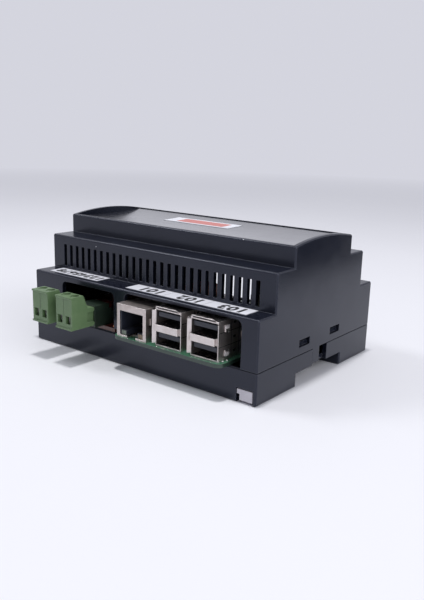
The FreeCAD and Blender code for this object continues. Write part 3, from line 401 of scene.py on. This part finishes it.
SHADE = moulded("shade_seam", (0.012, 0.010, 0.009), (0.03, 0.026, 0.022), (0.5, 0.7),
                scale=900.0)
CERAMIC = moulded("ceramic_tan", (0.20, 0.15, 0.10), (0.30, 0.23, 0.16), (0.4, 0.6), scale=900.0)
AMBER = moulded("amber_lens", (0.75, 0.16, 0.03), (0.85, 0.24, 0.05), (0.15, 0.25), scale=500.0,
                Coat_Weight=0.5, Coat_Roughness=0.1)


def dress_frame():
    """Every CAD node gets the material of its slot in the record, or one of its own."""
    slots = {part["node"]: part["material_slot"] for part in frame["record"]["subparts"]}
    for name, node in frame["nodes"].items():
        material = OWN_MATERIALS.get(name, MATERIALS[slots[name]])
        for material_slot in node.material_slots:
            material_slot.material = material
        if not node.material_slots:
            node.data.materials.append(material)


# ---------------------------------------------------------------- pieces
BOX_SIDES = ((0, 2, 3, 1), (4, 5, 7, 6), (0, 1, 5, 4), (2, 6, 7, 3), (0, 4, 6, 2), (1, 3, 7, 5))


class Form:
    """Mesh in millimetres that gathers simple bevelled forms into one piece."""

    def __init__(self):
        self.mesh = bmesh.new()

    def block(self, x, y, z, bevel=0.0):
        """Box from three (low, high) pairs with its edges bevelled."""
        corners = [self.mesh.verts.new((a * MM, b * MM, c * MM)) for c in z for b in y for a in x]
        faces = [self.mesh.faces.new([corners[i] for i in side]) for side in BOX_SIDES]
        if bevel > 0:
            edges = list({edge for face in faces for edge in face.edges})
            bmesh.ops.bevel(self.mesh, geom=edges, offset=bevel * MM, segments=2,
                            affect="EDGES", profile=0.5)

    def sheet(self, rows):
        """Open strip of quads through rows of points, all rows equally long."""
        rows = [[self.mesh.verts.new([a * MM for a in point]) for point in row] for row in rows]
        for low, high in zip(rows, rows[1:]):
            for i in range(len(low) - 1):
                self.mesh.faces.new((low[i], low[i + 1], high[i + 1], high[i]))

    def dome(self, centre, radius, height, steps=12):
        """Half-round drop of solder, seated on a flat."""
        rings = []
        for lift in (0.0, 0.55, 0.9):
            reach = radius * math.sqrt(1 - lift * lift)
            rings.append([
                self.mesh.verts.new((
                    (centre[0] + reach * math.cos(math.tau * i / steps)) * MM,
                    (centre[1] + reach * math.sin(math.tau * i / steps)) * MM,
                    (centre[2] + height * lift) * MM,
                ))
                for i in range(steps)
            ])
        for low, high in zip(rings, rings[1:]):
            for i in range(steps):
                j = (i + 1) % steps
                self.mesh.faces.new((low[i], low[j], high[j], high[i]))
        self.mesh.faces.new(rings[-1])
        self.mesh.faces.new(rings[0][::-1])

    def piece(self, name, body, material, smooth=False):
        """Turns the gathered forms into one object that rides on a body."""
        data = bpy.data.meshes.new(name)
        bmesh.ops.recalc_face_normals(self.mesh, faces=self.mesh.faces)
        self.mesh.to_mesh(data)
        self.mesh.free()
        for polygon in data.polygons:
            polygon.use_smooth = smooth
        data.materials.append(material)
        made = bpy.data.objects.new(name, data)
        bpy.context.collection.objects.link(made)
        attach(made, body)


def box_mm(node):
    """A node's (low, high) pairs along X, Y and Z, in millimetres."""
    low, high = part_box(node)
    return [(a / MM, b / MM) for a, b in zip(low, high)]


def part_of(span, first, last):
    """Stretch between two shares of a (low, high) pair."""
    size = span[1] - span[0]
    return (span[0] + size * first, span[0] + size * last)


def point_of(span, share):
    return part_of(span, share, share)[0]


def middle(span):
    return (span[0] + span[1]) / 2


def around(centre, width):
    return (centre - width / 2, centre + width / 2)


def layer(span, side, thickness):
    """Skin on the outside of a span's low end (side 0) or high end (side 1)."""
    return sorted((span[side], span[side] + (thickness if side else -thickness)))


def digits(name, text, centre, height, spacing, material, lift):
    """Plain printed numbers that lie flat and read from the back of the housing."""
    digit_share, thickness, boldness = 0.7, 0.01, 0.34
    font = bpy.data.curves.new(name, "FONT")
    font.body = text
    font.size = height * MM / digit_share
    font.space_character = spacing
    font.align_x = "CENTER"
    font.align_y = "CENTER"
    font.extrude = thickness * MM
    font.offset = boldness * MM
    font.resolution_u = 4
    loose = bpy.data.objects.new(name + "_curve", font)
    bpy.context.collection.objects.link(loose)
    bpy.context.view_layer.update()
    solid = loose.evaluated_get(bpy.context.evaluated_depsgraph_get())
    data = bpy.data.meshes.new_from_object(solid)
    bpy.data.objects.remove(loose)
    turn = Matrix.Rotation(math.pi, 4, "Z")
    data.transform(Matrix.Translation(Vector((centre[0], centre[1], lift)) * MM) @ turn)
    data.materials.clear()
    data.materials.append(material)
    data.name = name
    made = bpy.data.objects.new(name, data)
    bpy.context.collection.objects.link(made)
    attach(made, "housing")


def print_labels():
    """Rows of plain numbers on the shoulder, with ruled cells over the sockets."""
    x, y, z = box_mm("left_label")
    centre = (middle(part_of(x, 0.08, 0.98)), middle(y))
    digits("left_numbers", "12345678", centre, 4.6, 1.1, INK["black"], z[1])
    x, y, z = box_mm("right_label")
    cells, first_number = 3, 101
    rule_width, rule_height = 0.22, 0.01
    rules = Form()
    for i in range(cells):
        cell = part_of(x, i / cells, (i + 1) / cells)
        centre = (point_of(cell, 0.58), middle(y))
        number = str(first_number + i)
        digits("cell_number_%d" % (i + 1), number, centre, 5.4, 1.12, INK["black"], z[1])
        if i > 0:
            rules.block(around(cell[0], rule_width), y, (z[1], z[1] + rule_height))
    rules.piece("label_rules", "housing", INK["grey"])


def print_top_panel():
    """Faded red field that follows the dished panel's label, whose lowest line is at y = 0."""
    strips, sagitta, label_thickness, ink_lift = 8, 0.8, 0.15, 0.012
    x, y, _ = box_mm("top_label")
    _, panel_y, panel_z = box_mm("top_panel")
    half = (panel_y[1] - panel_y[0]) / 2
    radius = (half * half + sagitta * sagitta) / (2 * sagitta)
    edge_top = panel_z[1] + label_thickness
    span_x = part_of(x, 0.17, 0.88)
    span_y = part_of(y, 0.16, 0.86)
    rows = []
    for i in range(strips + 1):
        at = span_y[0] + (span_y[1] - span_y[0]) * i / strips
        drop = math.sqrt(radius * radius - at ** 2) - (radius - sagitta)
        rows.append([(a, at, edge_top - drop + ink_lift) for a in span_x])
    field = Form()
    field.sheet(rows)
    field.piece("top_label_field", "housing", INK["red"])


# ---------------------------------------------------------------- sockets
SEAM_HEIGHT = 0.015         # seams and slots lie on the sheet as dark skins
FINGER_LIFT, FINGER_BEVEL = 0.45, 0.12


def dress_jack():
    """Folded seams, the sides' spring fingers and the top's stamped latch tabs of the shield."""
    seam, latch_width = 0.2, 1.6
    x, y, z = box_mm("network_jack_shield")
    seams = Form()
    skin = (z[1], z[1] + SEAM_HEIGHT)
    for share in (0.30, 0.72):
        seams.block(part_of(x, 0.08, 0.92), around(point_of(y, share), 0.22), skin)
    for share in (0.22, 0.70):
        for offset in (0.0, latch_width):
            side_seam = around(point_of(x, share) + offset, seam)
            seams.block(side_seam, part_of(y, 0.34, 0.66), skin)
    for side in (0, 1):
        skin = layer(x, side, SEAM_HEIGHT)
        for share in (0.72, 0.48):
            seams.block(skin, part_of(y, 0.10, 0.62), around(point_of(z, share), seam))
        seams.block(skin, around(point_of(y, 0.62), seam), part_of(z, 0.48, 0.72))
    seams.piece("jack_seams", "housing", SHADE)
    fingers = Form()
    for side in (0, 1):
        fingers.block(layer(x, side, FINGER_LIFT), part_of(y, 0.12, 0.55),
                      part_of(z, 0.51, 0.69), bevel=FINGER_BEVEL)
    fingers.piece("jack_fingers", "housing", MATERIALS["nickel_shell"])


def dress_stack(number):
    """Stamped slots, fold seams, tabs and spring fingers of a port stack's shell."""
    flange, seam = 0.9, 0.18
    slots_across, slot_step, slot_length, slot_width = 4, 0.235, (0.08, 0.22), 0.45
    x, y, z = box_mm("port_stack_%d_shell" % number)
    inner_x = (x[0] + flange, x[1] - flange)
    roof = z[1] - flange
    seams = Form()
    skin = (roof, roof + SEAM_HEIGHT)
    for row, share in enumerate((0.10, 0.22, 0.34, 0.52, 0.72, 0.88)):
        for i in range(slots_across):
            if (row + i) % 3:
                slot = part_of(inner_x, *(edge + slot_step * i for edge in slot_length))
                seams.block(slot, around(point_of(y, share), slot_width), skin)
    for share in (0.29, 0.71):
        seams.block(around(point_of(inner_x, share), seam), part_of(y, 0.02, 0.45), skin)
    for side in (0, 1):
        wall = layer(inner_x, side, SEAM_HEIGHT)
        for share in (0.335, 0.665):
            seams.block(wall, part_of(y, 0.08, 0.97), around(point_of(z, share), seam))
        for share in (0.52, 0.80):
            seams.block(wall, around(point_of(y, share), seam), part_of(z, 0.06, 0.92))
        for share in (0.16, 0.50, 0.84):
            seams.block(wall, part_of(y, 0.60, 0.68), around(point_of(z, share), 0.8))
    seams.piece("port_seams_%d" % number, "housing", SHADE)
    tabs = Form()
    tab_width, tab_lift, tab_bevel = 1.8, (0.22, 0.25), 0.08
    for share in (0.30, 0.62):
        tabs.block(around(point_of(inner_x, share), tab_width), part_of(y, 0.07, 0.16),
                   (roof, roof + tab_lift[0]), bevel=tab_bevel)
    for side in (0, 1):
        tabs.block(layer(inner_x, side, tab_lift[1]), part_of(y, 0.88, 0.95),
                   part_of(z, 0.42, 0.56), bevel=tab_bevel)
    tabs.piece("port_tabs_%d" % number, "housing", MATERIALS["nickel_shell"])
    fingers = Form()
    finger_width = 1.5
    for side in (0, 1):
        for share in (0.14, 0.78):
            fingers.block(layer(inner_x, side, FINGER_LIFT), part_of(y, 0.28, 0.43),
                          around(point_of(z, share), finger_width), bevel=FINGER_BEVEL)
    fingers.piece("port_fingers_%d" % number, "housing", MATT_TIN)


# ---------------------------------------------------------------- boards
BUSY_NODES = ("processor", "support_chips", "camera_connector", "display_connector",
              "network_jack_shield", "port_stack_1_shell", "port_stack_2_shell", "pin_header",
              "ribbon_sockets", "audio_jack", "video_socket", "power_socket", "board_screws")


def solder_board():
    """Solder joints in the board's front right corner and before the sockets."""
    x, y, z = box_mm("main_board")
    joints = Form()
    for share_x, share_y in ((0.955, 0.030), (0.972, 0.048), (0.940, 0.050), (0.975, 0.075)):
        joints.dome((point_of(x, share_x), point_of(y, share_y), z[1]), 0.55, 0.5)
    for node in ("network_jack_shield", "port_stack_1_shell", "port_stack_2_shell"):
        across = box_mm(node)[0]
        for i in range(4):
            joints.dome((point_of(across, 0.2 + 0.2 * i), y[0] + 0.42, z[1]), 0.22, 0.15)
    joints.piece("solder_joints", "housing", SOLDER, smooth=True)


def dress_main_board(random_source):
    """Small chip parts with metal ends, strewn where nothing else stands on the board."""
    tries, length, width, margin = 70, 1.6, 0.8, 1.2
    body_height, end_height, end_length = 0.5, 0.52, 0.25
    x, y, z = box_mm("main_board")
    top = z[1]
    chips = Form()
    ends = Form()
    busy = [box_mm(node) for node in BUSY_NODES]
    obstacles = [b for b in busy if b[0][1] - b[0][0] < 30 and b[1][1] - b[1][0] < 56]
    for _ in range(tries):
        at = (random_source.uniform(x[0] + 2, x[1] - 2),
              random_source.uniform(y[0] + 24, y[1] - 3))
        turned = random_source.random() < 0.5
        size = (length, width) if turned else (width, length)
        clear = all(
            at[0] + margin < b[0][0] or at[0] - margin > b[0][1]
            or at[1] + margin < b[1][0] or at[1] - margin > b[1][1]
            for b in obstacles
        )
        if not clear or near_post(at):
            continue
        body = [s - 2 * end_length if s == length else s for s in size]
        chips.block(around(at[0], body[0]), around(at[1], body[1]), (top, top + body_height),
                    bevel=0.05)
        for side in (-1, 1):
            offset = [side * (s - end_length) / 2 if s == length else 0.0 for s in size]
            cap = [end_length if s == length else s for s in size]
            ends.block(around(at[0] + offset[0], cap[0]), around(at[1] + offset[1], cap[1]),
                       (top, top + end_height), bevel=0.04)
    chips.piece("small_parts", "housing", CERAMIC)
    ends.piece("small_part_ends", "housing", SOLDER)


def near_post(at):
    """True beside a board screw, by the left edge, or in line with the header or processor."""
    screw_x, screw_y, post_reach, margin, edge_strip = 2.3, 2.0, 3.4, 1.5, 8
    x, y, _ = box_mm("board_screws")
    beside = [abs(at[0] - a) < post_reach for a in (x[0] + screw_x, x[1] - screw_x)]
    level = [abs(at[1] - b) < post_reach for b in (y[0] + screw_y, y[1] - screw_y)]
    in_line = [low - margin < at[0] < high + margin
               for low, high in (box_mm("pin_header")[0], box_mm("processor")[0])]
    return (any(beside) and any(level)) or any(in_line) or at[0] < x[0] + edge_strip


def dress_interface_board():
    """Status light with its metal ends, and a row of solder joints beside the terminals."""
    light_x, light_y, light_length = 3.2, 1.6, 1.6
    x, y, z = box_mm("interface_board")
    top = z[1]
    lights = Form()
    lights.block(around(x[1] - light_x, light_length), around(y[0] + light_y, 0.9),
                 (top, top + 0.7), bevel=0.12)
    lights.piece("status_light", "housing", AMBER)
    caps = Form()
    for offset in (-4.05, -2.35):
        caps.block(around(x[1] + offset, 0.3), around(y[0] + light_y, 0.95),
                   (top, top + 0.45), bevel=0.05)
    for i in range(5):
        caps.dome((x[1] - 2.6 - 0.1 * i, y[0] + 4.0 + 1.9 * i, top), 0.5, 0.35)
    caps.piece("interface_solder", "housing", SOLDER)


def dress_snap_tongues():
    """Crossbars and side lips on the tips of the four snap tongues, inside the end walls."""
    wall, thickness = 2.2, 1.2
    tongue_y, bar_width, bar_z = 12.25, 9.4, (12.7, 14.6)
    lip_y, lip_width, lip_z = 4.25, 0.85, (9.4, 12.8)
    x = box_mm("upper_cover")[0]
    bars = Form()
    for span in ((x[0] + wall, x[0] + wall + thickness), (x[1] - wall - thickness, x[1] - wall)):
        for offset in (-tongue_y, tongue_y):
            bars.block(span, around(offset, bar_width), bar_z, bevel=0.2)
            for edge in (offset - lip_y, offset + lip_y):
                bars.block(span, around(edge, lip_width), lip_z, bevel=0.1)
    bars.piece("snap_crossbars", "housing", MATERIALS["housing_black"])


def dress_chip_legs():
    """Legs along both sides of the processor."""
    legs_a_side, leg_length, leg_width, leg_height = 12, 0.8, 0.35, 0.15
    legs = Form()
    x, y, z = box_mm("processor")
    for i in range(legs_a_side):
        at = y[0] + (i + 0.5) * (y[1] - y[0]) / legs_a_side
        for side in (0, 1):
            legs.block(layer(x, side, leg_length), around(at, leg_width),
                       (z[0], z[0] + leg_height), bevel=0.03)
    legs.piece("chip_legs", "housing", SOLDER)


# ---------------------------------------------------------------- stage and light
SKY = (0.66, 0.665, 0.735)


def stage_sheet(name, corners, material):
    """Flat sheet that belongs to the studio and not to the object."""
    mesh = bpy.data.meshes.new(name)
    mesh.from_pydata(corners, [], [(0, 1, 2, 3)])
    mesh.materials.append(material)
    sheet = bpy.data.objects.new(name, mesh)
    bpy.context.collection.objects.link(sheet)
    return sheet


def add_floor():
    """Pale seamless paper; far from the object it fades into the backdrop's colour."""
    half_size, fade_start, fade_end = 4.0, 0.30, 1.30
    low = CAD_BOUNDS[0][2]
    shader = Shader("floor_paper", Roughness=0.6, Specular_IOR_Level=0.2)
    shader.colour(shader.ramp(shader.noise(6.0), (0.84, 0.845, 0.895), (0.855, 0.86, 0.91)))
    shader.bump(shader.noise(900.0), 0.02, 0.0002)
    far = shader.node("ShaderNodeVectorMath", operation="LENGTH")
    shader.link(shader.place(), far.inputs[0])
    faded = shader.span(far.outputs["Value"], 0.0, 1.0, fade_start, fade_end)
    path = shader.node("ShaderNodeLightPath")
    seen = shader.math("MAXIMUM", path.outputs["Is Camera Ray"], path.outputs["Is Glossy Ray"])
    seen = shader.math("MAXIMUM", seen, path.outputs["Is Transmission Ray"])
    glow = shader.node("ShaderNodeEmission", Color=SKY + (1.0,), Strength=1.0)
    mix = shader.node("ShaderNodeMixShader")
    shader.link(shader.math("MULTIPLY", faded, seen), mix.inputs[0])
    shader.link(shader.bsdf.outputs[0], mix.inputs[1])
    shader.link(glow.outputs[0], mix.inputs[2])
    shader.link(mix.outputs[0], shader.tree.nodes["Material Output"].inputs["Surface"])
    ring = ((-1, -1), (1, -1), (1, 1), (-1, 1))
    corners = [(a * half_size, b * half_size, low) for a, b in ring]
    stage_sheet("floor", corners, shader.material)


def add_flag():
    """Black studio flag beside the right end, which only reflections show."""
    at, near, far, low, high = 0.150, 0.02, 0.23, 0.001, 0.10
    shader = Shader("flag_cloth", Roughness=0.9, Specular_IOR_Level=0.1)
    shader.colour(shader.ramp(shader.noise(40.0), (0.010, 0.011, 0.016), (0.018, 0.020, 0.028)))
    corners = [(at, near, low), (at, far, low), (at, far, high), (at, near, high)]
    flag = stage_sheet("flag", corners, shader.material)
    flag.visible_camera = False
    flag.visible_diffuse = False
    flag.visible_transmission = False
    flag.visible_shadow = False


def add_world():
    """Even pale surroundings, less than half as bright for light as for the eye."""
    as_light, as_seen = 0.42, 1.0
    world = bpy.data.worlds.new("studio")
    world.use_nodes = True
    bpy.context.scene.world = world
    tree = world.node_tree
    background = tree.nodes["Background"]
    path = tree.nodes.new("ShaderNodeLightPath")
    seen = path.outputs["Is Camera Ray"]
    for name in ("Is Glossy Ray", "Is Transmission Ray"):
        either = tree.nodes.new("ShaderNodeMath")
        either.operation = "MAXIMUM"
        tree.links.new(seen, either.inputs[0])
        tree.links.new(path.outputs[name], either.inputs[1])
        seen = either.outputs[0]
    strength = tree.nodes.new("ShaderNodeMapRange")
    strength.inputs["To Min"].default_value = as_light
    strength.inputs["To Max"].default_value = as_seen
    tree.links.new(seen, strength.inputs["Value"])
    tree.links.new(strength.outputs["Result"], background.inputs["Strength"])
    background.inputs["Color"].default_value = SKY + (1.0,)


def add_lamp(name, place, target, size, power, colour):
    """Soft box at a place in metres, turned towards its target."""
    data = bpy.data.lights.new(name, "AREA")
    data.shape = "RECTANGLE"
    data.size, data.size_y = size
    data.energy = power
    data.color = colour
    lamp = bpy.data.objects.new(name, data)
    lamp.location = place
    direction = Vector(target) - Vector(place)
    lamp.rotation_euler = direction.to_track_quat("-Z", "Y").to_euler()
    bpy.context.collection.objects.link(lamp)


def add_lamps():
    """Small softbox almost overhead, a broad weak fill at the right and a small one at the left."""
    add_lamp("key", (0.03, -0.05, 1.05), (0, 0, 0), (0.09, 0.09), 5.3, (1.0, 0.995, 0.985))
    add_lamp("fill", (1.0, -0.10, 0.50), (0, 0, 0.02), (1.1, 0.8), 6.2, (0.98, 0.985, 1.0))
    add_lamp("rim", (-0.64, -0.27, 0.82), (0, 0, 0.03), (0.32, 0.32), 2.4, (0.98, 0.99, 1.0))


def set_view():
    """Plain display, without a film look."""
    bpy.context.scene.view_settings.view_transform = "Standard"


add_camera()
dress_frame()
print_labels()
print_top_panel()
dress_jack()
dress_stack(1)
dress_stack(2)
solder_board()
dress_main_board(random.Random(7))
dress_interface_board()
dress_chip_legs()
dress_snap_tongues()
add_floor()
add_flag()
add_world()
add_lamps()
set_view()
